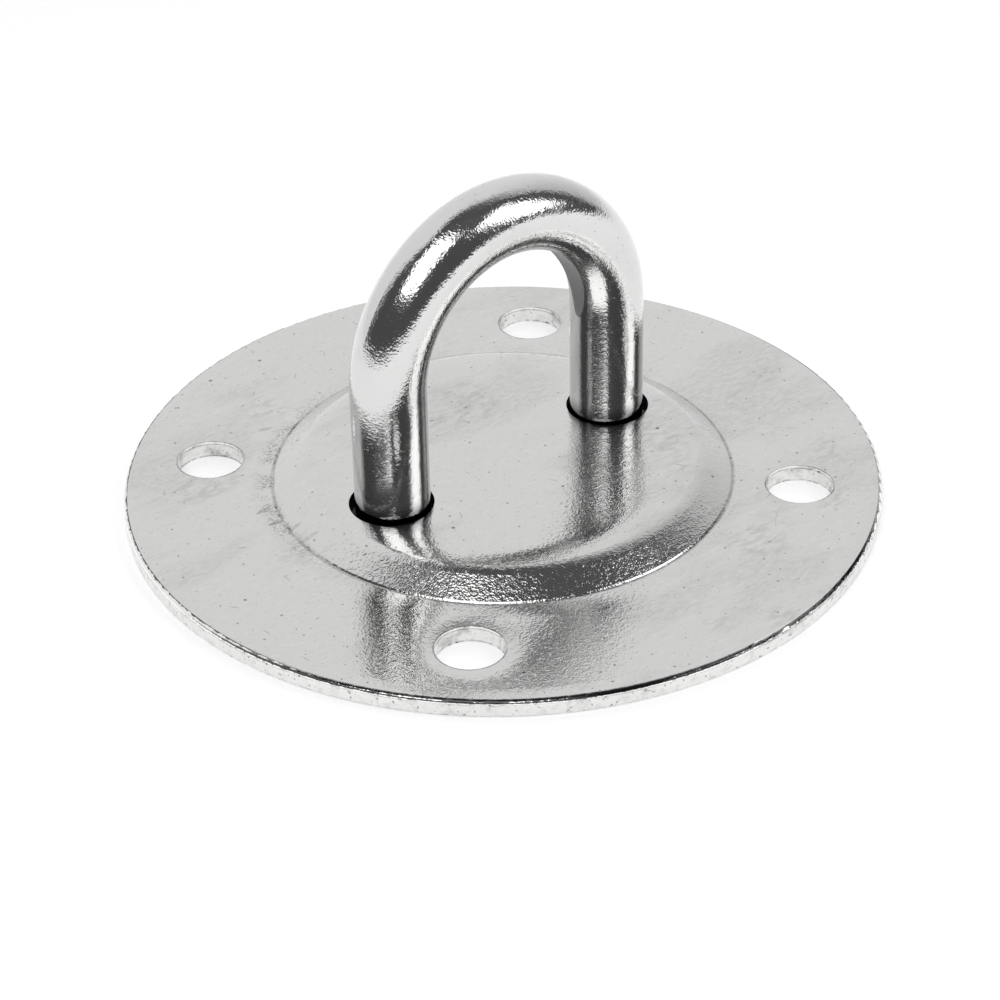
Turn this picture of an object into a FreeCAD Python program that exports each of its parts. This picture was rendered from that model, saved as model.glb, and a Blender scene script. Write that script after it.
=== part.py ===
import FreeCAD, Part
import math
import os

# Ceiling hook: a round pressed steel plate that is screwed to a ceiling, and a bent round bar
# that stands out of it as a loop. All sizes are in millimetres.
# Origin: the middle of the plate's mounting face. +Z runs from the ceiling face out to the loop,
# and X runs from one leg of the loop to the other.

# Plate blank
plate_dia = 102.0
sheet_t = 2.5
rim_roll_w = 2.4          # width of the rim that the blanking die draws gently down
rim_roll_r = 18.0         # curvature of that rim
rim_edge_r = 0.6          # rounding of the upper edge itself
rim_break = 0.15          # broken lower edge

# Screw holes
screw_count = 4
screw_edge_dist = 11.0    # from a hole's centre to the plate's edge
screw_hole_dia = 9.0
first_screw_angle = 45.0  # the loop's plane lies midway between two holes

# Raised dish
dish_foot_dia = 62.0      # crease where the dish meets the flange
dish_rise = 3.1
foot_step = 0.25          # height of the steeper step that the die left at the foot of the wall
foot_step_angle = 48.0
crease_r = 0.15           # tight inside corner at the foot of the step
wall_angle = 31.0         # steepness of the wall above the step
hollow_bend_r = 3.1       # soft bend at the mouth of the hollow behind the dish
crown_r = 18.0            # slow bend at the edge of the flat top
crown_angle = 12.0        # how far the slow bend turns before the shoulder takes over
shoulder_r = 4.5          # quicker bend from the crown to the wall

# Punched edges: metal drawn down a little round each hole, widely at the screw holes
screw_roll_w = 3.2
screw_roll_d = 0.2
leg_roll_w = 0.7
leg_roll_d = 0.06

# Bent bar
bar_dia = 10.0
leg_spacing = 37.0        # centre to centre of the two legs
bend_centre_z = 22.4      # height of the bend's centre above the mounting face
bar_end_gap = 0.8         # the cut ends stay this far above the mounting face
bar_end_chamfer = 0.5
former_flat = 0.75        # depth of the flat that the bending former pressed, at the top of the bend
former_raise = 0.68       # the former's centre stands this far above the bend's centre

# Leg holes in the dish
leg_hole_spacing = 37.4
leg_hole_gap = 0.65       # clearance round a leg

# Weld ring round each leg, on the hidden side
bead_foot = 2.4           # width on the plate
bead_rise = 1.9           # height on the leg
bead_crown = 0.35         # how far the bead's face bulges

plate_r = plate_dia / 2
foot_r = dish_foot_dia / 2
bar_r = bar_dia / 2
leg_x = leg_spacing / 2
bend_r = leg_spacing / 2
leg_hole_x = leg_hole_spacing / 2
leg_hole_r = bar_r + leg_hole_gap
screw_r = screw_hole_dia / 2
screw_circle_r = plate_r - screw_edge_dist
dish_top_z = sheet_t + dish_rise
recess_z = dish_rise      # ceiling of the hollow under the dish
wall = math.radians(wall_angle)
step = math.radians(foot_step_angle)
crown = math.radians(crown_angle)

V = FreeCAD.Vector
AXIS_Z = V(0, 0, 1)


def on_arc(centre, radius, angle):
    return V(centre.x + radius * math.sin(angle), 0, centre.z + radius * math.cos(angle))


def arc_edge(centre, radius, a0, a1):
    mid = on_arc(centre, radius, (a0 + a1) / 2)
    return Part.Arc(on_arc(centre, radius, a0), mid, on_arc(centre, radius, a1)).toShape()


def line_edge(p, q):
    return Part.makeLine(p, q)


def spin(edges):
    """Turn a closed outline in the XZ plane into a solid about Z."""
    face = Part.Face(Part.Wire(edges))
    return face.revolve(V(0, 0, 0), AXIS_Z, 360)


# One pressed sheet of even thickness. Both skins share the centres of the crown and the shoulder,
# and the wall's two lines run parallel. Only the outer skin has the step at its foot.
def pressed_plate():
    shoulder_drop_x = (crown_r - shoulder_r) * math.sin(crown)
    shoulder_drop_z = (crown_r - shoulder_r) * math.cos(crown)
    wall_top_z = dish_top_z - crown_r + shoulder_drop_z + shoulder_r * math.cos(wall)
    wall_foot_r = foot_r + foot_step / math.tan(wall) - foot_step / math.tan(step)
    wall_run = (wall_top_z - sheet_t) / math.tan(wall)
    flat_r = wall_foot_r - wall_run - shoulder_r * math.sin(wall) - shoulder_drop_x
    crown_c = V(flat_r, 0, dish_top_z - crown_r)
    shoulder_c = V(flat_r + shoulder_drop_x, 0, crown_c.z + shoulder_drop_z)
    step_top = V(foot_r - foot_step / math.tan(step), 0, sheet_t + foot_step)
    crease_c = V(foot_r + crease_r * math.tan(step / 2), 0, sheet_t + crease_r)
    mouth_x = wall_foot_r + (hollow_bend_r - sheet_t) * math.tan(wall / 2)
    mouth_c = V(mouth_x, 0, hollow_bend_r)

    rim_c = V(plate_r - rim_roll_w, 0, sheet_t - rim_roll_r)
    rim_turn = math.asin((rim_roll_w - rim_edge_r) / (rim_roll_r - rim_edge_r))
    edge_c = on_arc(rim_c, rim_roll_r - rim_edge_r, rim_turn)
    rim_low = V(plate_r, 0, rim_break)
    rim_under = V(plate_r - rim_break, 0, 0)
    top_mid = V(0, 0, dish_top_z)
    low_mid = V(0, 0, recess_z)

    inner_crown_r = crown_r - sheet_t
    inner_shoulder_r = shoulder_r - sheet_t
    wall_top = on_arc(shoulder_c, shoulder_r, wall)
    hollow_top = on_arc(shoulder_c, inner_shoulder_r, wall)
    outline = [
        line_edge(top_mid, on_arc(crown_c, crown_r, 0)),
        arc_edge(crown_c, crown_r, 0, crown),
        arc_edge(shoulder_c, shoulder_r, crown, wall),
        line_edge(wall_top, step_top),
        line_edge(step_top, on_arc(crease_c, crease_r, math.pi + step)),
        arc_edge(crease_c, crease_r, math.pi + step, math.pi),
        line_edge(on_arc(crease_c, crease_r, math.pi), on_arc(rim_c, rim_roll_r, 0)),
        arc_edge(rim_c, rim_roll_r, 0, rim_turn),
        arc_edge(edge_c, rim_edge_r, rim_turn, math.pi / 2),
        line_edge(on_arc(edge_c, rim_edge_r, math.pi / 2), rim_low),
        line_edge(rim_low, rim_under),
        line_edge(rim_under, on_arc(mouth_c, hollow_bend_r, math.pi)),
        arc_edge(mouth_c, hollow_bend_r, math.pi, math.pi + wall),
        line_edge(on_arc(mouth_c, hollow_bend_r, math.pi + wall), hollow_top),
        arc_edge(shoulder_c, inner_shoulder_r, wall, crown),
        arc_edge(crown_c, inner_crown_r, crown, 0),
        line_edge(on_arc(crown_c, inner_crown_r, 0), low_mid),
        line_edge(low_mid, top_mid),
    ]
    return spin(outline)


# A punch: the hole itself and the shallow dip that it draws down round the hole's upper edge.
def punch(x, y, radius, face_z, roll_w, roll_d):
    dip_r = (roll_w ** 2 + roll_d ** 2) / (2 * roll_d)
    half = math.asin(roll_w / dip_r)
    outer = V(radius + roll_w, 0, face_z)
    inner = V(radius, 0, face_z - roll_d)
    dip_c = V(outer.x, 0, face_z - dip_r)
    mid = on_arc(dip_c, dip_r, -half / 2)
    below = V(radius, 0, face_z - 2 * sheet_t)
    above = V(outer.x, 0, face_z + dish_rise + sheet_t)
    outline = [
        line_edge(V(0, 0, below.z), below),
        line_edge(below, inner),
        Part.Arc(inner, mid, outer).toShape(),
        line_edge(outer, above),
        line_edge(above, V(0, 0, above.z)),
        line_edge(V(0, 0, above.z), V(0, 0, below.z)),
    ]
    tool = spin(outline)
    tool.translate(V(x, y, 0))
    return tool


def base_plate():
    plate = pressed_plate()
    tools = []
    for i in range(screw_count):
        a = math.radians(first_screw_angle + i * 360.0 / screw_count)
        x = screw_circle_r * math.cos(a)
        y = screw_circle_r * math.sin(a)
        tools.append(punch(x, y, screw_r, sheet_t, screw_roll_w, screw_roll_d))
    for side in (-1, 1):
        tools.append(punch(side * leg_hole_x, 0, leg_hole_r, dish_top_z, leg_roll_w, leg_roll_d))
    return plate.cut(tools)


# The bar: two straight legs and a half-circle bend. The inside of the bend is pressed flat by
# the former, most at the top, and the flat runs out to a point just below each end of the bend.
def hanging_bar():
    leg_len = bend_centre_z - bar_end_gap
    legs = []
    for side in (-1, 1):
        leg = Part.makeCylinder(bar_r, leg_len, V(side * leg_x, 0, bar_end_gap), AXIS_Z)
        ends = [e for e in leg.Edges if e.BoundBox.ZMax < bar_end_gap + 0.01 and e.BoundBox.XLength > bar_r]
        legs.append(leg.makeChamfer(bar_end_chamfer, ends))
    section = Part.Face(Part.Wire(Part.makeCircle(bar_r, V(leg_x, 0, bend_centre_z), AXIS_Z)))
    bend = section.revolve(V(0, 0, bend_centre_z), V(0, -1, 0), 180)
    bar = legs[0].fuse([bend, legs[1]]).removeSplitter()
    former_r = bend_r - bar_r + former_flat - former_raise
    former_foot = V(0, -bar_dia, bend_centre_z + former_raise)
    former = Part.makeCylinder(former_r, 2 * bar_dia, former_foot, V(0, 1, 0))
    return bar.cut(former)


# A weld ring fills the corner between a leg and the ceiling of the hollow, and closes the
# clearance gap from behind.
def weld_beads(plate):
    beads = []
    for side in (-1, 1):
        root = V(bar_r, 0, recess_z)
        toe = V(bar_r + bead_foot, 0, recess_z)
        top = V(bar_r, 0, recess_z - bead_rise)
        span = math.hypot(bead_foot, bead_rise)
        out = V(bead_rise / span, 0, -bead_foot / span)
        mid = (toe + top) * 0.5 + out * bead_crown
        outline = [
            line_edge(root, toe),
            Part.Arc(toe, mid, top).toShape(),
            line_edge(top, root),
        ]
        ring = spin(outline)
        ring.translate(V(side * leg_x, 0, 0))
        beads.append(ring.cut(plate))
    return Part.makeCompound(beads)


os.makedirs("parts", exist_ok=True)
plate = base_plate()
nodes = {
    "base_plate": plate,
    "hanging_bar": hanging_bar(),
    "weld_beads": weld_beads(plate),
}
for name, shape in nodes.items():
    shape.exportStep("parts/" + name + ".step")
    box = shape.BoundBox
    print(name, "solids", len(shape.Solids), "valid", shape.isValid(), "volume", round(shape.Volume, 1),
          "z", round(box.ZMin, 3), round(box.ZMax, 3), "x", round(box.XMin, 3), round(box.XMax, 3))
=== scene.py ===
import math
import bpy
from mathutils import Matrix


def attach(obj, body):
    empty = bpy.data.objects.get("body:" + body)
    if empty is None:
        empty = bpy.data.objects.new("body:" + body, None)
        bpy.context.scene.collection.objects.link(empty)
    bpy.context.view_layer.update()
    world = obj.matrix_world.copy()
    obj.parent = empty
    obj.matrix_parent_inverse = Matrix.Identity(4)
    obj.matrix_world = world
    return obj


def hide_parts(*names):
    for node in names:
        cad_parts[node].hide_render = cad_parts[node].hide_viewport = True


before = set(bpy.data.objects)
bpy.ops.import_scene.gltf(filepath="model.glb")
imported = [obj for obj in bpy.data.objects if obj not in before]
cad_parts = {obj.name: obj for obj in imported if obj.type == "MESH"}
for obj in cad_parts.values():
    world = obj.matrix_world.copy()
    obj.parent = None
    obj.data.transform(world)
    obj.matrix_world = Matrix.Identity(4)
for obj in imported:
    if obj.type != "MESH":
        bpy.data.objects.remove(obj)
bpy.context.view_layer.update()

from types import SimpleNamespace

import bpy
from mathutils import Matrix, Vector

# The pressed plate: one round blank of polished stainless sheet, pressed to a raised dish and
# punched with four screw holes and two leg holes. Its shape comes from model.glb. Its finish has
# grain, pits, smudges, nicks and scratches, and pale sheared edges. Painted shade darkens the
# rolled corners, the crease at the dish's foot and the gaps round the legs, and painted
# highlights lighten the lips of the rim and the holes.
DISH_FOOT = 0.031
LEG_HOLE_X = 0.0187
LEG_HOLE_RADIUS = 0.00565
LEG_RADIUS = 0.005
SCREW_HOLE_XY = 0.028284
SCREW_HOLE_RADIUS = 0.0045
SCREW_HOLE_LIP = 0.0021
RIM_START = 0.0500
RIM_ROUND_Z = 0.001806
RIM_ROUND = 0.0006
ROLLED_STRETCH = (0.4, 1.0, 1.0)  # streaks are longer along x, the way the sheet was rolled
WORN_SIDE = (-0.78, 0.62, 0.0)  # towards the side that the die rubbed most


def put(tree, kind, values=None, **settings):
    """Add a node. A value that is a socket is linked, and any other is set."""
    node = tree.nodes.new(kind)
    for key, value in settings.items():
        setattr(node, key, value)
    for key, value in (values or {}).items():
        if isinstance(value, bpy.types.NodeSocket):
            tree.links.new(value, node.inputs[key])
        else:
            node.inputs[key].default_value = value
    return node


def calc(tree, operation, *terms, clamp=False):
    values = dict(enumerate(terms))
    return put(tree, "ShaderNodeMath", values, operation=operation, use_clamp=clamp).outputs[0]


def product(tree, first, *factors):
    for factor in factors:
        first = calc(tree, "MULTIPLY", first, factor)
    return first


def largest(tree, first, *others):
    for other in others:
        first = calc(tree, "MAXIMUM", first, other)
    return first


def rest_of(tree, mask):
    """The other part of a mask: one less the mask."""
    return calc(tree, "SUBTRACT", 1.0, mask)


def vector_calc(tree, operation, *terms):
    """A sum of vectors, which gives a vector, or one value for a length or a dot product."""
    node = put(tree, "ShaderNodeVectorMath", dict(enumerate(terms)), operation=operation)
    if operation in ("LENGTH", "DOT_PRODUCT"):
        return node.outputs["Value"]
    return node.outputs["Vector"]


def vector_of(tree, x, y, z=0.0):
    return put(tree, "ShaderNodeCombineXYZ", {0: x, 1: y, 2: z}).outputs[0]


def axes_of(tree, vector):
    return put(tree, "ShaderNodeSeparateXYZ", {"Vector": vector}).outputs


def ramp(tree, value, low, high, to_low=0.0, to_high=1.0):
    """Ease a value from to_low to to_high while it goes from low to high."""
    values = {"Value": value, "From Min": low, "From Max": high, "To Min": to_low, "To Max": to_high}
    return put(tree, "ShaderNodeMapRange", values, interpolation_type="SMOOTHSTEP").outputs["Result"]


def fall(tree, value, low, high):
    """Ease from one to nothing while a value goes from low to high."""
    return ramp(tree, value, low, high, 1.0, 0.0)


def band(tree, value, start, full, fade, end):
    """A mask that sets in between start and full, and goes out again between fade and end."""
    return product(tree, ramp(tree, value, start, full), fall(tree, value, fade, end))


def mix(tree, factor, a, b, kind="FLOAT"):
    return put(tree, "ShaderNodeMix", {"Factor": factor, "A": a, "B": b}, data_type=kind).outputs["Result"]


def noise(tree, vector, scale, detail=2.0, roughness=0.5):
    values = {"Vector": vector, "Scale": scale, "Detail": detail, "Roughness": roughness}
    return put(tree, "ShaderNodeTexNoise", values).outputs[0]


def patches(tree, vector, scale, low, high, detail=2.0, roughness=0.5, to_low=0.0, to_high=1.0):
    """Random patches: a noise that is cut between two of its levels."""
    return ramp(tree, noise(tree, vector, scale, detail, roughness), low, high, to_low, to_high)


def cells(tree, vector, scale, dimensions):
    """Cells round scattered points. Each has the distance to its point, the place and a random colour."""
    values = {"Vector": vector, "Scale": scale}
    return put(tree, "ShaderNodeTexVoronoi", values, voronoi_dimensions=dimensions).outputs


def chances(tree, found):
    """Three random values for each cell."""
    return put(tree, "ShaderNodeSeparateColor", {"Color": found["Color"]}).outputs


def bump(tree, height, normal=None):
    values = {"Strength": 1.0, "Distance": 1.0, "Height": height}
    if normal is not None:
        values["Normal"] = normal
    return put(tree, "ShaderNodeBump", values).outputs[0]


def add_marks(tree, value, marks, amounts):
    """Add each of the named marks to a value, times its amount."""
    for name, amount in amounts.items():
        value = calc(tree, "MULTIPLY_ADD", marks[name], amount, value)
    return value


def shade_marks(tree, value, marks, amounts):
    """Change a value by the share that each of the named marks has."""
    for name, amount in amounts.items():
        value = product(tree, value, calc(tree, "MULTIPLY_ADD", marks[name], amount, 1.0))
    return value


def new_group(name, inputs, output):
    """An empty group of nodes that takes a vector and some values, and gives one value."""
    tree = bpy.data.node_groups.new(name, "ShaderNodeTree")
    tree.interface.new_socket(name="Vector", in_out="INPUT", socket_type="NodeSocketVector")
    for label in inputs:
        tree.interface.new_socket(name=label, in_out="INPUT", socket_type="NodeSocketFloat")
    tree.interface.new_socket(name=output, in_out="OUTPUT", socket_type="NodeSocketFloat")
    inlet = tree.nodes.new("NodeGroupInput")
    outlet = tree.nodes.new("NodeGroupOutput")
    return tree, inlet.outputs, outlet.inputs[0]


def use_group(tree, group, vector, values):
    return put(tree, "ShaderNodeGroup", {"Vector": vector, **values}, node_tree=group).outputs[0]


FACET_SCALE = 0.8
STEEP_PATCH_SCALE = 0.4
STEEPEST_FACET = 3.2
FLATTEST_FACET = 0.1
FINE_SHARE = 0.7


def make_grain():
    """Rolled grain: a fine noise and tiny facets that break up the edges of a reflection."""
    tree, given, result = new_group("steel_grain", ("Scale", "Depth"), "Height")
    fine = noise(tree, given["Vector"], given["Scale"], detail=2.0, roughness=0.55)
    found = cells(tree, given["Vector"], product(tree, given["Scale"], FACET_SCALE), "3D")
    patch = noise(tree, given["Vector"], product(tree, given["Scale"], STEEP_PATCH_SCALE), detail=1.0)
    steep = calc(tree, "MULTIPLY_ADD", product(tree, patch, patch), STEEPEST_FACET, FLATTEST_FACET)
    facet = product(tree, found["Distance"], steep)
    both = calc(tree, "MULTIPLY_ADD", fine, FINE_SHARE, facet)
    tree.links.new(product(tree, both, given["Depth"]), result)
    return tree


PIT_WARP_SCALE = 2600.0
PIT_WARP = (0.00022, 0.00022, 0.00022)
PIT_SIZE_SPREAD = 1.1
PIT_SIZE_LEAST = 0.35
PIT_SOFT_EDGE = 0.6


def make_pits():
    """Sparse small pits on a flat vector, each dark in its middle, of mixed sizes."""
    tree, given, result = new_group("steel_pits", ("Scale", "Size", "Share"), "Mask")
    values = {"Vector": given["Vector"], "Scale": PIT_WARP_SCALE, "Detail": 1.0}
    warp = put(tree, "ShaderNodeTexNoise", values)
    shift = vector_calc(tree, "MULTIPLY", warp.outputs["Color"], PIT_WARP)
    found = cells(tree, vector_calc(tree, "ADD", given["Vector"], shift), given["Scale"], "2D")
    chance = chances(tree, found)
    own_size = calc(tree, "MULTIPLY_ADD", chance[1], PIT_SIZE_SPREAD, PIT_SIZE_LEAST)
    out = calc(tree, "DIVIDE", found["Distance"], product(tree, given["Size"], own_size))
    inside = calc(tree, "SUBTRACT", 1.0, out, clamp=True)
    kept = calc(tree, "LESS_THAN", chance[0], given["Share"])
    tree.links.new(product(tree, ramp(tree, inside, 0.0, PIT_SOFT_EDGE), kept), result)
    return tree


SCRATCH_BOW = 0.35
THINNEST_SCRATCH = 0.000001


def make_scratches():
    """Single scratches with pointed ends, scattered on a flat vector and turned at random."""
    inputs = ("Scale", "Length", "Width", "Share", "Spread")
    tree, given, result = new_group("steel_scratches", inputs, "Mask")
    found = cells(tree, given["Vector"], given["Scale"], "2D")
    chance = chances(tree, found)
    local = vector_calc(tree, "SUBTRACT", given["Vector"], found["Position"])
    angle = product(tree, calc(tree, "SUBTRACT", chance[1], 0.5), given["Spread"])
    turned = put(tree, "ShaderNodeVectorRotate", {"Vector": local, "Angle": angle}, rotation_type="Z_AXIS")
    axes = axes_of(tree, turned.outputs[0])
    reach = calc(tree, "DIVIDE", axes[0], given["Length"])
    square = product(tree, reach, reach)
    bow = product(tree, calc(tree, "SUBTRACT", chance[2], 0.5), given["Length"], SCRATCH_BOW)
    off = calc(tree, "ABSOLUTE", calc(tree, "SUBTRACT", axes[1], product(tree, square, bow)))
    taper = product(tree, given["Width"], calc(tree, "SUBTRACT", 1.0, square, clamp=True))
    share = calc(tree, "DIVIDE", off, calc(tree, "MAXIMUM", taper, THINNEST_SCRATCH))
    inside = calc(tree, "SUBTRACT", 1.0, share, clamp=True)
    kept = calc(tree, "LESS_THAN", chance[0], given["Share"])
    tree.links.new(product(tree, inside, kept), result)
    return tree


SMUDGE_SOFT_EDGE = 0.14
SMUDGE_STREAKS = {"scale": 1600.0, "roughness": 0.6, "low": 0.3, "high": 0.75,
                  "to_low": 0.35, "to_high": 1.5}


def make_smudges():
    """Rubbed patches, streaked one way, of a slightly duller polish."""
    tree, given, result = new_group("steel_smudges", ("Scale", "Share"), "Mask")
    patch = noise(tree, given["Vector"], given["Scale"], detail=3.0, roughness=0.6)
    soft = ramp(tree, calc(tree, "SUBTRACT", patch, rest_of(tree, given["Share"])), 0.0, SMUDGE_SOFT_EDGE)
    streaks = patches(tree, given["Vector"], **SMUDGE_STREAKS)
    tree.links.new(product(tree, soft, streaks), result)
    return tree


grain = make_grain()
pits = make_pits()
scratches = make_scratches()
smudges = make_smudges()


def all_pits(tree, vector, kinds):
    """Pits of several kinds, each with its own strength."""
    masks = [product(tree, use_group(tree, pits, vector, values), strength) for values, strength in kinds]
    return largest(tree, *masks)


def new_steel(name):
    """An empty metal: the material, its nodes and the inputs of its shader."""
    steel = bpy.data.materials.new(name)
    steel.use_nodes = True
    inputs = steel.node_tree.nodes["Principled BSDF"].inputs
    inputs["Metallic"].default_value = 1.0
    return steel, steel.node_tree, inputs


def dress_steel(tree, inputs, colour, roughness, normal):
    tree.links.new(colour, inputs["Base Color"])
    tree.links.new(roughness, inputs["Roughness"])
    tree.links.new(normal, inputs["Normal"])


# Where the sheared faces start: by height on the edge's rounding, and by how the surface faces
RIM_EASE = 0.0003
RIM_FACE_TURN = (0.15, 0.4)
RIM_FACE_FACING = (-0.5, -0.2)
HOLE_FACE_FACING = (0.2, 0.5)
WORN_SHARE = (0.68, 0.985)
RAGGED = {"scale": 1500.0, "detail": 3.0, "roughness": 0.6}
PATCHY = {"scale": 260.0, "detail": 1.0, "low": 0.36, "high": 0.62, "to_low": 0.25, "to_high": 1.2}


def plate_places(tree):
    """Where a point of the plate lies, which way it faces, and whether it is on a sheared edge."""
    at = SimpleNamespace()
    at.place = put(tree, "ShaderNodeTexCoord").outputs["Object"]
    at.x, at.y, at.z = axes_of(tree, at.place)
    at.flat = vector_of(tree, at.x, at.y)
    at.rolled = vector_calc(tree, "MULTIPLY", at.place, ROLLED_STRETCH)
    at.radius = vector_calc(tree, "LENGTH", at.flat)
    at.facing = axes_of(tree, put(tree, "ShaderNodeNewGeometry").outputs["Normal"])[2]
    at.side = vector_calc(tree, "DOT_PRODUCT", vector_calc(tree, "NORMALIZE", at.flat), WORN_SIDE)
    at.worn = ramp(tree, at.side, *WORN_SHARE)
    at.rim = ramp(tree, at.radius, RIM_START, RIM_START + RIM_EASE)
    at.rim_turn = calc(tree, "DIVIDE", calc(tree, "SUBTRACT", at.z, RIM_ROUND_Z), RIM_ROUND)
    rim_face = product(tree, fall(tree, at.rim_turn, *RIM_FACE_TURN),
                       ramp(tree, at.facing, *RIM_FACE_FACING))
    hole_face = fall(tree, calc(tree, "ABSOLUTE", at.facing), *HOLE_FACE_FACING)
    at.cut_edge = mix(tree, at.rim, hole_face, rim_face)
    at.level = rest_of(tree, at.cut_edge)
    at.ragged = noise(tree, at.place, **RAGGED)
    at.patchy = patches(tree, at.place, **PATCHY)
    from_leg = calc(tree, "SUBTRACT", calc(tree, "ABSOLUTE", at.x), LEG_HOLE_X)
    at.to_leg = vector_calc(tree, "LENGTH", vector_of(tree, from_leg, at.y))
    return at


FLARE_WIDTH = 0.0032
FLARE_CURVE = 16.0
SHEET_WAVES = ((60.0, 0.00009), (240.0, 0.000008))


def sheet_shape(tree, at):
    """The flange flares up a little to the dish's foot, and the sheet is very slightly wavy."""
    inward = calc(tree, "SUBTRACT", DISH_FOOT + FLARE_WIDTH, at.radius)
    flare = calc(tree, "MINIMUM", calc(tree, "MAXIMUM", inward, 0.0), FLARE_WIDTH)
    height = product(tree, flare, flare, FLARE_CURVE)
    for scale, depth in SHEET_WAVES:
        height = calc(tree, "MULTIPLY_ADD", noise(tree, at.place, scale, detail=1.0), depth, height)
    return bump(tree, height)


PLATE_SMUDGES = {"Scale": 90.0, "Share": 0.5}
PLATE_PITS = (
    ({"Scale": 900.0, "Size": 0.085, "Share": 0.22}, 0.6),
    ({"Scale": 400.0, "Size": 0.065, "Share": 0.4}, 0.75),
    ({"Scale": 110.0, "Size": 0.026, "Share": 0.35}, 1.0),
)
SCRATCHES = {"Scale": 60.0, "Length": 0.0032, "Width": 0.00009, "Share": 0.3, "Spread": 1.6}
SCRATCH_STRENGTH = 0.6
NICKS = {"Scale": 130.0, "Length": 0.0008, "Width": 0.00016, "Share": 0.22, "Spread": 5.0}
DARK_STROKES = {"scale": 2300.0, "detail": 1.0, "low": 0.58, "high": 0.78}
BRIGHT_STROKES = {"scale": 1900.0, "detail": 1.0, "low": 0.30, "high": 0.42,
                  "to_low": 1.0, "to_high": 0.0}
SCUFFED_AREAS = {"scale": 75.0, "detail": 1.0, "low": 0.62, "high": 0.72}
SCUFF_STREAKS = {"scale": 1300.0, "detail": 3.0, "low": 0.4, "high": 0.65}


def handling_marks(tree, at):
    """What rolling, polishing and handling left on the sheet."""
    strong_scratches = product(tree, use_group(tree, scratches, at.flat, SCRATCHES), SCRATCH_STRENGTH)
    nicks = use_group(tree, scratches, at.flat, NICKS)
    return {
        "smudges": use_group(tree, smudges, at.rolled, PLATE_SMUDGES),
        "scuffs": product(tree, patches(tree, at.place, **SCUFFED_AREAS),
                          patches(tree, at.rolled, **SCUFF_STREAKS)),
        "dark_strokes": patches(tree, at.rolled, **DARK_STROKES),
        "bright_strokes": patches(tree, at.rolled, **BRIGHT_STROKES),
        "pits": product(tree, all_pits(tree, at.flat, PLATE_PITS), at.level),
        "scratches": product(tree, largest(tree, strong_scratches, nicks), at.level),
    }


FOOT_LINE_RADIUS = DISH_FOOT + 0.0001
FOOT_LINE_WIDTH = (0.00008, 0.0003)
FOOT_LINE_BREAKS = {"scale": 500.0, "low": 0.3, "high": 0.6, "to_low": 0.35}
DIE_RUB_BAND = (DISH_FOOT - 0.0006, DISH_FOOT, DISH_FOOT + 0.0007, DISH_FOOT + 0.0032)
DIE_RUB_SPECKS = {"scale": 2400.0, "detail": 3.0, "roughness": 0.7, "low": 0.44, "high": 0.60}
DIE_RUB_AREAS = {"scale": 260.0, "low": 0.34, "high": 0.50}
DIE_RUB_WORN = 0.8
DIE_RUB_ALL_ROUND = 0.2
SMEARS = {"Scale": 260.0, "Length": 0.0013, "Width": 0.0006, "Share": 0.3, "Spread": 1.4}
SMEAR_EDGE = (0.1, 0.5)
SMEAR_STREAKS = {"scale": 1700.0, "low": 0.34, "high": 0.56, "to_low": 0.25}
SMEAR_BAND = (DISH_FOOT - 0.004, DISH_FOOT - 0.002, DISH_FOOT + 0.003, DISH_FOOT + 0.006)


def die_marks(tree, at):
    """What the pressing die rubbed at the foot of the dish, most on one side, and a broken line of painted
    shade in the crease at the foot.
    """
    off_line = calc(tree, "ABSOLUTE", calc(tree, "SUBTRACT", at.radius, FOOT_LINE_RADIUS))
    rub = product(tree, patches(tree, at.place, **DIE_RUB_SPECKS),
                  patches(tree, at.place, **DIE_RUB_AREAS))
    rub_share = calc(tree, "MULTIPLY_ADD", at.worn, DIE_RUB_WORN, DIE_RUB_ALL_ROUND)
    smears = ramp(tree, use_group(tree, scratches, at.flat, SMEARS), *SMEAR_EDGE)
    return {
        # A broken line of painted shade in the crease at the dish's foot
        "foot_crease_painted_shade": product(tree, fall(tree, off_line, *FOOT_LINE_WIDTH),
                             patches(tree, at.place, **FOOT_LINE_BREAKS)),
        "die_rub": product(tree, rub, band(tree, at.radius, *DIE_RUB_BAND), rub_share),
        "smears": product(tree, smears, patches(tree, at.rolled, **SMEAR_STREAKS),
                          band(tree, at.radius, *SMEAR_BAND), at.worn),
    }


# Levels on the rim's rounding run from 0, where it meets the sheared face, to 1 at its top
RAGGED_LEAN = 0.5
RIM_TO_SIDES = (0.35, 0.75)
RIM_TO_WORN = (-0.1, 0.8)
RIM_TO_OPPOSITE_SIDE = (-0.98, -0.87)
CORNER_START = 0.42
CORNER_START_UNEVEN = 0.25
CORNER_START_THIN = 0.42
CORNER_EASE = 0.08
CORNER_END = (0.97, 0.99)
CORNER_TOP = (0.84, 0.92, 0.9, 0.35)
CORNER_AT_SIDES = 0.86
CORNER_AT_OPPOSITE_SIDE = -0.6
RIM_LIP_HIGHLIGHT_START = (0.10, 0.18)
LIP_LINE_BAND = (-0.14, -0.08, 0.04, 0.10)


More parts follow.
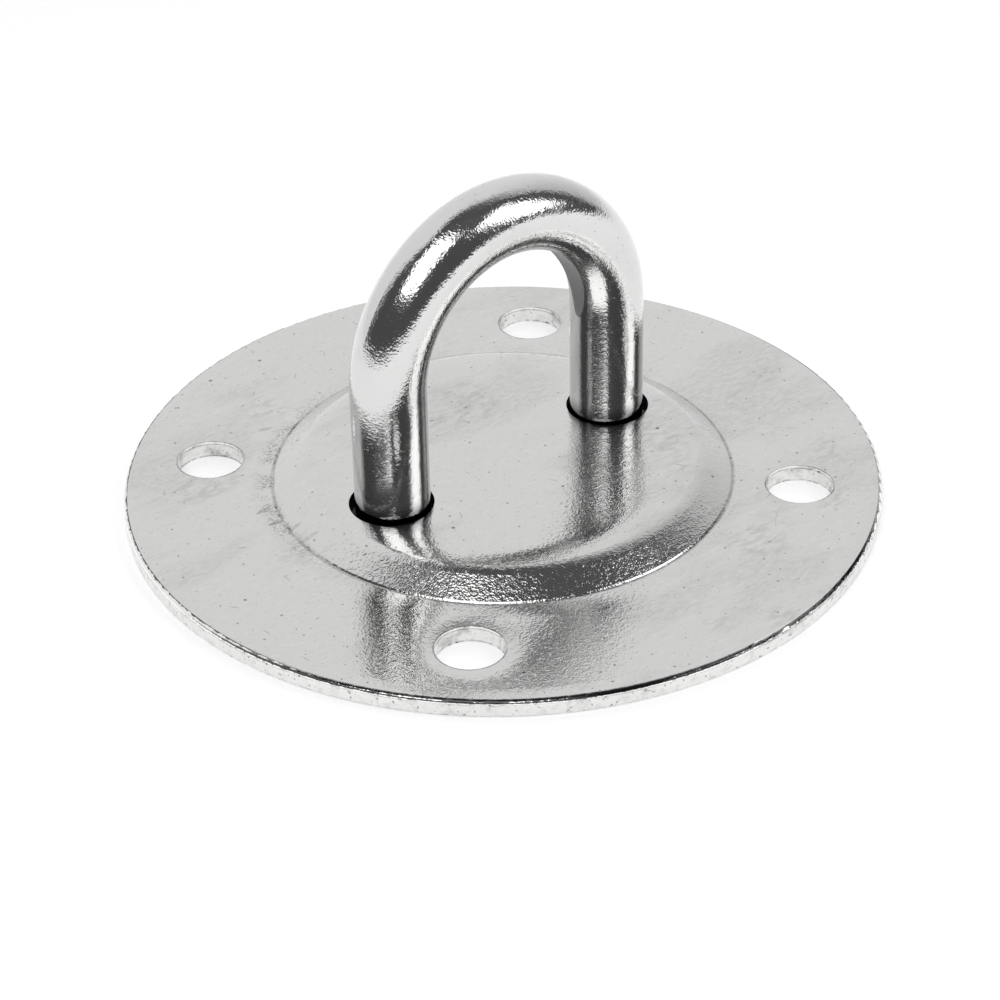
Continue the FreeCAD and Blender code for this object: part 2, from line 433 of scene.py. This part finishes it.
def rim_marks(tree, at):
    """The rim's edge: painted shade on the rolled corner, a ragged painted highlight along the edge under
    it, and a line below that highlight.
    """
    leaning = calc(tree, "MULTIPLY_ADD", calc(tree, "SUBTRACT", at.ragged, 0.5), RAGGED_LEAN, at.rim_turn)
    to_sides = ramp(tree, calc(tree, "ABSOLUTE", at.side), *RIM_TO_SIDES)
    to_opposite_side = fall(tree, at.side, *RIM_TO_OPPOSITE_SIDE)
    thin = calc(tree, "ADD", ramp(tree, at.side, *RIM_TO_WORN), to_opposite_side)
    uneven = product(tree, rest_of(tree, at.patchy), rest_of(tree, thin))
    start = calc(tree, "MULTIPLY_ADD", uneven, CORNER_START_UNEVEN, CORNER_START)
    start = calc(tree, "MULTIPLY_ADD", thin, CORNER_START_THIN, start)
    full = calc(tree, "ADD", start, CORNER_EASE)
    # Painted shade on the rolled corner. It is thinner towards the worn side and the opposite one,
    # stronger low on the rounding, where it would mirror the bright front panel, and at the sides, and
    # weaker on the opposite side.
    corner = product(tree, fall(tree, at.rim_turn, *CORNER_END), ramp(tree, leaning, start, full), at.rim)
    deep = largest(tree, ramp(tree, at.rim_turn, *CORNER_TOP), product(tree, to_sides, CORNER_AT_SIDES))
    deep = product(tree, deep, calc(tree, "MULTIPLY_ADD", to_opposite_side, CORNER_AT_OPPOSITE_SIDE, 1.0))
    return {
        "rim_corner_painted_shade": product(tree, corner, deep),
        "rim_lip_highlight": product(tree, ramp(tree, leaning, *RIM_LIP_HIGHLIGHT_START),
                           fall(tree, leaning, start, full), at.rim),
        "lip_line": product(tree, band(tree, leaning, *LIP_LINE_BAND), at.rim, at.patchy),
    }


HOLE_RAGGED = 0.0004
HOLE_CORNER = (SCREW_HOLE_RADIUS + 0.00008, SCREW_HOLE_RADIUS + 0.00028)
HOLE_LIP_HIGHLIGHT_START = (SCREW_HOLE_LIP, SCREW_HOLE_LIP + 0.00006)
HOLE_LIP_HIGHLIGHT_BREAKS = (0.4, 0.5)
BURNISH_BAND = (SCREW_HOLE_LIP - 0.00026, SCREW_HOLE_LIP - 0.0002,
                SCREW_HOLE_LIP - 0.00014, SCREW_HOLE_LIP - 0.00008)
HOLES_END = (0.048, 0.049)
LEG_GAP = (LEG_HOLE_RADIUS + 0.00002, LEG_HOLE_RADIUS + 0.00012)


def hole_marks(tree, at):
    """The punched holes: painted shade on the screw holes' rolled corners, painted highlights on the
    holes' lips, a burnished line, and painted shade in the gaps round the legs.
    """
    hole_x = calc(tree, "SUBTRACT", calc(tree, "ABSOLUTE", at.x), SCREW_HOLE_XY)
    hole_y = calc(tree, "SUBTRACT", calc(tree, "ABSOLUTE", at.y), SCREW_HOLE_XY)
    to_hole = vector_calc(tree, "LENGTH", vector_of(tree, hole_x, hole_y))
    to_hole = calc(tree, "MULTIPLY_ADD", calc(tree, "SUBTRACT", at.ragged, 0.5), HOLE_RAGGED, to_hole)
    return {
        # Painted shade on the flat round each screw hole's rolled corner
        "hole_corner_painted_shade": product(tree, fall(tree, to_hole, *HOLE_CORNER), at.level, at.patchy),
        "hole_lip_highlight": product(tree, ramp(tree, at.z, *HOLE_LIP_HIGHLIGHT_START), at.cut_edge,
                            ramp(tree, at.ragged, *HOLE_LIP_HIGHLIGHT_BREAKS)),
        "burnish": product(tree, band(tree, at.z, *BURNISH_BAND), fall(tree, at.radius, *HOLES_END)),
        # Painted shade on the hole walls in the gap round each leg
        "leg_gap_painted_shade": product(tree, fall(tree, at.to_leg, *LEG_GAP), at.cut_edge),
    }


BURR_HEIGHT = (0.00016, 0.0003)
BURR_BREAKS = (0.42, 0.52)
MOTTLING = {"scale": 900.0, "detail": 3.0, "roughness": 0.6, "low": 0.48, "high": 0.66}
SPECKS = {"scale": 1700.0, "detail": 1.0, "low": 0.67, "high": 0.73}
STAINS = {"scale": 380.0, "detail": 3.0, "low": 0.50, "high": 0.64}


def sheared_marks(tree, at, burnish):
    """The sheared faces: mottled metal with a burr at the bottom, specks, and stains in the holes."""
    burr = product(tree, fall(tree, at.z, *BURR_HEIGHT), ramp(tree, at.ragged, *BURR_BREAKS))
    return {
        "sheared_face": at.cut_edge,
        "mottling": product(tree, patches(tree, at.place, **MOTTLING), at.cut_edge),
        "shear_lines": product(tree, largest(tree, burnish, burr), at.cut_edge),
        "specks": product(tree, patches(tree, at.place, **SPECKS), at.cut_edge),
        "stains": product(tree, patches(tree, at.place, **STAINS), at.cut_edge, rest_of(tree, at.rim)),
    }


HIDDEN_FACING = (-0.9, -0.5)
HEATED_RADIUS = (LEG_RADIUS + 0.002, LEG_RADIUS + 0.008)


def weld_heat(tree, at):
    """The welds' heat tinted the hidden side of the sheet round each leg."""
    return product(tree, fall(tree, at.facing, *HIDDEN_FACING), fall(tree, at.to_leg, *HEATED_RADIUS))


PLATE_GRAIN = {"Scale": 4000.0, "Depth": 0.00001}
DRAWN_GRAIN = {"Scale": 4400.0, "Depth": 0.000022}
DRAWN_WALL = (DISH_FOOT - 0.0055, DISH_FOOT - 0.003, DISH_FOOT, DISH_FOOT + 0.0002)
PLATE_MARK_DEPTHS = {"pits": -0.000012, "scratches": -0.000005, "mottling": 0.00002}
PLATE_ROUGHNESS = 0.12
SHEARED_ROUGHNESS = 0.3
PLATE_MARK_ROUGHNESS = {"smudges": 0.05, "die_rub": 0.2}
PLATE_TONE = 0.635
PLATE_DARKEST = 0.03
PLATE_MARK_TONES = {
    "smudges": -0.055,
    "scuffs": -0.09,
    "dark_strokes": -0.04,
    "bright_strokes": 0.025,
    "pits": -0.42,
    "scratches": -0.2,
    "die_rub": -0.3,
    "smears": -0.2,
    "foot_crease_painted_shade": -0.2,
    "sheared_face": 0.14,
    "mottling": -0.10,
    "shear_lines": -0.28,
    "specks": -0.4,
    "stains": -0.22,
    "lip_highlight": 0.2,
    "lip_line": -0.24,
}
PLATE_PAINTED_SHADES = {"rim_corner_painted_shade": -1.0, "hole_corner_painted_shade": -0.5, "leg_gap_painted_shade": -0.85}
PLATE_GREEN = 0.997
PLATE_BLUE = 0.99
HEAT_GREEN = -0.28
HEAT_BLUE = -0.5


def plate_steel():
    steel, tree, inputs = new_steel("plate_steel")
    at = plate_places(tree)
    marks = handling_marks(tree, at) | die_marks(tree, at) | rim_marks(tree, at) | hole_marks(tree, at)
    marks |= sheared_marks(tree, at, marks["burnish"])
    # The rim's and the holes' lips are lightened with painted highlights
    marks["lip_highlight"] = largest(tree, marks["rim_lip_highlight"], marks["hole_lip_highlight"])

    # Drawing the wall of the dish made its grain coarser
    fine = use_group(tree, grain, at.place, PLATE_GRAIN)
    drawn = use_group(tree, grain, at.place, DRAWN_GRAIN)
    depth = calc(tree, "MULTIPLY_ADD", drawn, band(tree, at.radius, *DRAWN_WALL), fine)
    normal = bump(tree, add_marks(tree, depth, marks, PLATE_MARK_DEPTHS), sheet_shape(tree, at))

    roughness = mix(tree, at.cut_edge, PLATE_ROUGHNESS, SHEARED_ROUGHNESS)
    roughness = add_marks(tree, roughness, marks, PLATE_MARK_ROUGHNESS)

    tone = add_marks(tree, PLATE_TONE, marks, PLATE_MARK_TONES)
    # The rim's and the holes' rolled corners and the gaps round the legs are darkened with painted shade
    tone = shade_marks(tree, tone, marks, PLATE_PAINTED_SHADES)
    tone = largest(tree, tone, PLATE_DARKEST)
    heat = weld_heat(tree, at)
    green = product(tree, tone, calc(tree, "MULTIPLY_ADD", heat, HEAT_GREEN, PLATE_GREEN))
    blue = product(tree, tone, calc(tree, "MULTIPLY_ADD", heat, HEAT_BLUE, PLATE_BLUE))
    colour = put(tree, "ShaderNodeCombineColor", {0: tone, 1: green, 2: blue}).outputs[0]
    dress_steel(tree, inputs, colour, roughness, normal)
    return steel


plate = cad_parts["base_plate"]
plate.data.materials.clear()
plate.data.materials.append(plate_steel())

# The hanging bar: one length of polished stainless round bar, bent to a half circle. It keeps
# faint drawing lines along its length. The bending former left a dull flat inside the bend, and
# the foot of each leg, where it goes into the plate, is darkened with painted shade.
LEG_X = 0.0185
BEND_Z = 0.0224
FORMER_Z = BEND_Z + 0.00068
FORMER_RADIUS = 0.01357
PRESSED_EDGE = (FORMER_RADIUS + 0.00002, FORMER_RADIUS + 0.00006)
DISH_TOP = 0.0056
SHADED_FOOT = (DISH_TOP - 0.0003, DISH_TOP + 0.0030)
OUTER_SKIN = (LEG_X - 0.003, LEG_X)
STRETCHED_HEIGHT = (BEND_Z, BEND_Z + 0.006)
BAR_GRAIN_SCALE = 4200.0
BAR_GRAIN_DEPTH = 0.00001
STRETCHED_GRAIN_DEPTH = 0.000004
DRAWING_LINES_SCALE = 1900.0
DRAWING_LINES_STRETCH = 0.03
DRAWING_LINES_DEPTH = 0.0000022
BAR_PITS = (
    ({"Scale": 700.0, "Size": 0.08, "Share": 0.2}, 1.0),
    ({"Scale": 220.0, "Size": 0.05, "Share": 0.2}, 1.0),
)
BAR_SMUDGES = {"Scale": 130.0, "Share": 0.5}
BAR_MARK_DEPTHS = {"pits": -0.00001}
BAR_ROUGHNESS = 0.10
BAR_MARK_ROUGHNESS = {"smudges": 0.05, "pressed": 0.22}
BAR_TONE = 0.64
BAR_MARK_TONES = {"pits": -0.3, "smudges": -0.02}
BAR_SHADES = {"pressed": -0.6, "foot_painted_shade": -0.85}
BAR_BLUE = 0.995


def bar_steel():
    steel, tree, inputs = new_steel("bar_steel")
    place = put(tree, "ShaderNodeTexCoord").outputs["Object"]
    x, y, z = axes_of(tree, place)
    above = calc(tree, "MAXIMUM", calc(tree, "SUBTRACT", z, BEND_Z), 0.0)
    reach = calc(tree, "SQRT", calc(tree, "ADD", product(tree, x, x), product(tree, above, above)))
    across = calc(tree, "SUBTRACT", reach, LEG_X)
    along = calc(tree, "MULTIPLY_ADD", calc(tree, "ARCTAN2", above, x), LEG_X, z)
    around = product(tree, calc(tree, "ARCTAN2", y, across), LEG_RADIUS)
    skin = vector_of(tree, along, around)
    run = vector_of(tree, across, y, product(tree, along, DRAWING_LINES_STRETCH))
    from_former = vector_calc(tree, "LENGTH", vector_of(tree, x, calc(tree, "SUBTRACT", z, FORMER_Z)))
    marks = {
        "pits": all_pits(tree, skin, BAR_PITS),
        "smudges": use_group(tree, smudges, place, BAR_SMUDGES),
        "pressed": fall(tree, from_former, *PRESSED_EDGE),
        # Painted shade at the foot of each leg, darkest where it goes into the plate
        "foot_painted_shade": fall(tree, z, *SHADED_FOOT),
    }

    # The bend's outer skin was stretched, and its grain is coarser there than on the legs
    stretched = product(tree, ramp(tree, reach, *OUTER_SKIN), ramp(tree, z, *STRETCHED_HEIGHT))
    grain_depth = calc(tree, "MULTIPLY_ADD", stretched, STRETCHED_GRAIN_DEPTH, BAR_GRAIN_DEPTH)
    fine = use_group(tree, grain, place, {"Scale": BAR_GRAIN_SCALE, "Depth": grain_depth})
    depth = calc(tree, "MULTIPLY_ADD", noise(tree, run, DRAWING_LINES_SCALE), DRAWING_LINES_DEPTH, fine)
    normal = bump(tree, add_marks(tree, depth, marks, BAR_MARK_DEPTHS))

    roughness = add_marks(tree, BAR_ROUGHNESS, marks, BAR_MARK_ROUGHNESS)
    # Painted shade darkens the foot of each leg
    tone = shade_marks(tree, add_marks(tree, BAR_TONE, marks, BAR_MARK_TONES), marks, BAR_SHADES)
    blue = product(tree, tone, BAR_BLUE)
    colour = put(tree, "ShaderNodeCombineColor", {0: tone, 1: tone, 2: blue}).outputs[0]
    dress_steel(tree, inputs, colour, roughness, normal)
    return steel


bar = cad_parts["hanging_bar"]
bar.data.materials.clear()
bar.data.materials.append(bar_steel())

# The welds: a ring of weld metal round each leg, in the hollow behind the dish. Each is laid as a
# row of overlapping drops, which froze one after another and left ripples. It is dull and tinted.
HOLLOW_Z = 0.0031
BEAD_FOOT = 0.0024
BEAD_RISE = 0.0019
DROPS = 42
DROP_LENGTH = 0.00074
DROP_THICKNESS = 0.00062
DROP_REACH = 0.00148
REMESH_STEP = 0.00013
SMOOTHING = 0.5
SMOOTHING_ROUNDS = 2
SHARPEST_SMOOTH_EDGE = math.radians(50)
FIRST_DROP_LEFT = 0.4
FIRST_DROP_RIGHT = 2.1
WELD_GRAIN = {"Scale": 2400.0, "Depth": 0.00002}
WELD_OXIDE = {"scale": 420.0, "detail": 3.0, "roughness": 0.6, "low": 0.4, "high": 0.65}
WELD_CLEAN_COLOUR = (0.46, 0.44, 0.41, 1)
WELD_OXIDE_COLOUR = (0.27, 0.23, 0.19, 1)
WELD_CLEAN_ROUGHNESS = 0.32
WELD_OXIDE_ROUGHNESS = 0.5


def weld_steel():
    steel, tree, inputs = new_steel("weld_steel")
    place = put(tree, "ShaderNodeTexCoord").outputs["Object"]
    oxide = patches(tree, place, **WELD_OXIDE)
    colour = mix(tree, oxide, WELD_CLEAN_COLOUR, WELD_OXIDE_COLOUR, "RGBA")
    roughness = ramp(tree, oxide, 0.0, 1.0, WELD_CLEAN_ROUGHNESS, WELD_OXIDE_ROUGHNESS)
    dress_steel(tree, inputs, colour, roughness, bump(tree, use_group(tree, grain, place, WELD_GRAIN)))
    return steel


def model_drop():
    """One frozen drop: a flattened ball that lies across the corner between leg and sheet."""
    middle = LEG_RADIUS + BEAD_FOOT / 2
    lean = math.atan2(BEAD_RISE, BEAD_FOOT)
    bpy.ops.object.select_all(action="DESELECT")
    bpy.ops.mesh.primitive_uv_sphere_add(segments=20, ring_count=12, radius=1.0)
    bpy.ops.object.mode_set(mode="EDIT")
    bpy.ops.mesh.select_all(action="SELECT")
    bpy.ops.transform.resize(value=(DROP_REACH, DROP_LENGTH, DROP_THICKNESS), center_override=(0, 0, 0))
    bpy.ops.transform.rotate(value=lean, orient_axis="Y", center_override=(0, 0, 0))
    bpy.ops.transform.translate(value=(middle, 0, HOLLOW_Z - BEAD_RISE / 2))
    bpy.ops.object.mode_set(mode="OBJECT")
    return bpy.context.object


def laid_drop(drop, leg_x, angle):
    """A copy of the drop at its place in the ring."""
    bpy.ops.object.select_all(action="DESELECT")
    drop.select_set(True)
    bpy.context.view_layer.objects.active = drop
    bpy.ops.object.duplicate()
    bpy.ops.object.mode_set(mode="EDIT")
    bpy.ops.mesh.select_all(action="SELECT")
    bpy.ops.transform.rotate(value=angle, orient_axis="Z", center_override=(0, 0, 0))
    bpy.ops.transform.translate(value=(leg_x, 0, 0))
    bpy.ops.object.mode_set(mode="OBJECT")
    return bpy.context.object


def weld_ring(name, drop, leg_x, start):
    drops = [laid_drop(drop, leg_x, start + 2 * math.pi * i / DROPS) for i in range(DROPS)]
    bpy.ops.object.select_all(action="DESELECT")
    for laid in drops:
        laid.select_set(True)
    bpy.context.view_layer.objects.active = drops[0]
    bpy.ops.object.join()
    ring = bpy.context.object
    ring.name = name
    fused = ring.modifiers.new("fused", "REMESH")
    fused.mode = "VOXEL"
    fused.voxel_size = REMESH_STEP
    bpy.ops.object.modifier_apply(modifier="fused")
    smoothed = ring.modifiers.new("smoothed", "SMOOTH")
    smoothed.factor = SMOOTHING
    smoothed.iterations = SMOOTHING_ROUNDS
    bpy.ops.object.modifier_apply(modifier="smoothed")
    bpy.ops.object.mode_set(mode="EDIT")
    bpy.ops.mesh.select_all(action="SELECT")
    bpy.ops.mesh.bisect(plane_co=(0, 0, HOLLOW_Z), plane_no=(0, 0, 1), use_fill=True, clear_outer=True)
    bpy.ops.mesh.select_all(action="SELECT")
    bpy.ops.mesh.normals_make_consistent(inside=False)
    bpy.ops.object.mode_set(mode="OBJECT")
    bpy.ops.object.shade_smooth_by_angle(angle=SHARPEST_SMOOTH_EDGE)
    ring.data.materials.append(bpy.data.materials["weld_steel"])
    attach(ring, "root")
    return ring


weld_steel()
first_drop = model_drop()
rings = [weld_ring("weld_ring_1", first_drop, -LEG_X, FIRST_DROP_LEFT),
         weld_ring("weld_ring_2", first_drop, LEG_X, FIRST_DROP_RIGHT)]
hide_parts("weld_beads")

# The first drop was there to be copied, and goes with its mesh
bpy.data.meshes.remove(first_drop.data)

# The camera stands at the photo's angle, about a third of a right angle above the plate. It aims
# a little beside the middle of the mounting face and is rolled by about a degree, as the photo is.
CAMERA_HEIGHT = math.radians(33.37)
CAMERA_SIDE = math.radians(-128.65)
CAMERA_ROLL = math.radians(-1.14)
CAMERA_DISTANCE = 0.4026
CAMERA_SENSOR = 36
CAMERA_LENS = 106.97
AIM_UP = -0.00187
AIM_RIGHT = -0.0004

lens = bpy.data.cameras.new("camera")
lens.sensor_width = CAMERA_SENSOR
lens.lens = CAMERA_LENS
camera = bpy.data.objects.new("camera", lens)
bpy.context.scene.collection.objects.link(camera)
outward = Vector((math.cos(CAMERA_HEIGHT) * math.cos(CAMERA_SIDE),
                  math.cos(CAMERA_HEIGHT) * math.sin(CAMERA_SIDE),
                  math.sin(CAMERA_HEIGHT)))
rightward = Vector((-math.sin(CAMERA_SIDE), math.cos(CAMERA_SIDE), 0))
upward = outward.cross(rightward)
stand = outward * CAMERA_DISTANCE
aim = upward * AIM_UP + rightward * AIM_RIGHT
look = (stand - aim).to_track_quat("Z", "Y").to_matrix() @ Matrix.Rotation(CAMERA_ROLL, 3, "Z")
camera.matrix_world = Matrix.Translation(stand) @ look.to_4x4()
bpy.context.scene.camera = camera

# The studio: two soft panels in a dark room with a pale wall. The panels' middles and sides are
# given as seen from the camera: right, away and up.
TO_CAMERA = CAMERA_SIDE + math.pi / 2
PANEL_DISTANCE = 0.9
PANEL_GLOW = 2.3
PANELS = {
    "front_panel": ((-0.149, -0.556, 0.818), (0.62, -0.36, -0.128), (0.3235, 0.48, 0.384)),
    "right_panel": ((0.815, -0.165, 0.556), (0.025, 0.45, 0.135), (-0.42, 0.073, 0.627)),
}


def place_panel(name, centre, across, up):
    """A rectangular soft panel that faces the object."""
    turn = Matrix.Rotation(TO_CAMERA, 3, "Z")
    x = (turn @ Vector(across)).normalized()
    y = (turn @ Vector(up)).normalized()
    z = x.cross(y).normalized()
    middle = turn @ Vector(centre) * PANEL_DISTANCE
    if z.dot(middle) < 0:
        x, z = -x, -z
    y = z.cross(x)
    lamp = bpy.data.lights.new(name, "AREA")
    lamp.shape = "RECTANGLE"
    lamp.size = Vector(across).length * PANEL_DISTANCE
    lamp.size_y = Vector(up).length * PANEL_DISTANCE
    lamp.energy = PANEL_GLOW * math.pi * lamp.size * lamp.size_y
    panel = bpy.data.objects.new(name, lamp)
    bpy.context.scene.collection.objects.link(panel)
    panel.matrix_world = Matrix.Translation(middle) @ Matrix((x, y, z)).transposed().to_4x4()
    panel.visible_camera = False


for name, (centre, across, up) in PANELS.items():
    place_panel(name, centre, across, up)

# The wall stands behind the object. Its ends are angles from the camera's direction. Towards its
# right end it is darker, and its top fades out over more of its height
WALL_RIGHT = (math.radians(116), math.radians(128))
WALL_LEFT = (math.radians(84), math.radians(102))
WALL_RIGHT_PART = (math.radians(118), math.radians(176))
WALL_TOP = math.radians(62)
WALL_TOP_AT_RIGHT = math.radians(-22)
WALL_FADE = math.radians(73)
WALL_FADE_AT_RIGHT = math.radians(6)
WALL_TONE = 0.97
WALL_TONE_AT_RIGHT = -0.3
ROOM_HEIGHTS = (math.radians(18), math.radians(75))
ROOM_TONES = (0.09, 0.10)
SEEN_TONE = 1.0

room = bpy.data.worlds.new("room")
bpy.context.scene.world = room
room.use_nodes = True
tree = room.node_tree
view = put(tree, "ShaderNodeTexCoord").outputs["Generated"]
turned = put(tree, "ShaderNodeVectorRotate", {"Vector": view, "Angle": -TO_CAMERA}, rotation_type="Z_AXIS")
right, away, up = axes_of(tree, turned.outputs[0])
side = calc(tree, "ARCTAN2", right, product(tree, away, -1.0))
height = calc(tree, "ARCSINE", up)
wall_right = ramp(tree, side, *WALL_RIGHT)
wall_left = ramp(tree, product(tree, side, -1.0), *WALL_LEFT)
to_right = product(tree, fall(tree, side, *WALL_RIGHT_PART), wall_right)
wall_top = calc(tree, "MULTIPLY_ADD", to_right, WALL_TOP_AT_RIGHT, WALL_TOP)
wall_fade = calc(tree, "MULTIPLY_ADD", to_right, WALL_FADE_AT_RIGHT, WALL_FADE)
wall = product(tree, largest(tree, wall_right, wall_left), fall(tree, height, wall_top, wall_fade))
dark = ramp(tree, height, *ROOM_HEIGHTS, *ROOM_TONES)
pale = calc(tree, "MULTIPLY_ADD", to_right, WALL_TONE_AT_RIGHT, WALL_TONE)
seen = put(tree, "ShaderNodeLightPath").outputs["Is Camera Ray"]
glow = mix(tree, seen, mix(tree, wall, dark, pale), SEEN_TONE)
tree.links.new(glow, tree.nodes["Background"].inputs["Color"])

# The floor: plain white paper. It glows a little to the camera and in reflections, so that it
# looks white there, and it still keeps the object's shadow.
FLOOR_SIZE = 6.0
FLOOR_Z = -0.00005
FLOOR_COLOUR = (0.8, 0.8, 0.8, 1)
FLOOR_ROUGHNESS = 0.9
FLOOR_GLOW_COLOUR = (1, 1, 1, 1)
FLOOR_GLOW_SEEN = 0.45
FLOOR_GLOW_REFLECTED = 0.55

bpy.ops.object.select_all(action="DESELECT")
bpy.ops.mesh.primitive_plane_add(size=FLOOR_SIZE, location=(0, 0, FLOOR_Z))
floor = bpy.context.object
floor.name = "floor"
bpy.ops.object.transform_apply(location=True, rotation=True, scale=True)
paper = bpy.data.materials.new("floor_paper")
paper.use_nodes = True
tree = paper.node_tree
bsdf = tree.nodes["Principled BSDF"]
bsdf.inputs["Base Color"].default_value = FLOOR_COLOUR
bsdf.inputs["Roughness"].default_value = FLOOR_ROUGHNESS
bsdf.inputs["Emission Color"].default_value = FLOOR_GLOW_COLOUR
rays = put(tree, "ShaderNodeLightPath").outputs
extra = calc(tree, "MULTIPLY_ADD", rays["Is Glossy Ray"], FLOOR_GLOW_REFLECTED,
             product(tree, rays["Is Camera Ray"], FLOOR_GLOW_SEEN))
tree.links.new(extra, bsdf.inputs["Emission Strength"])
floor.data.materials.append(paper)

bpy.context.scene.view_settings.view_transform = "Standard"
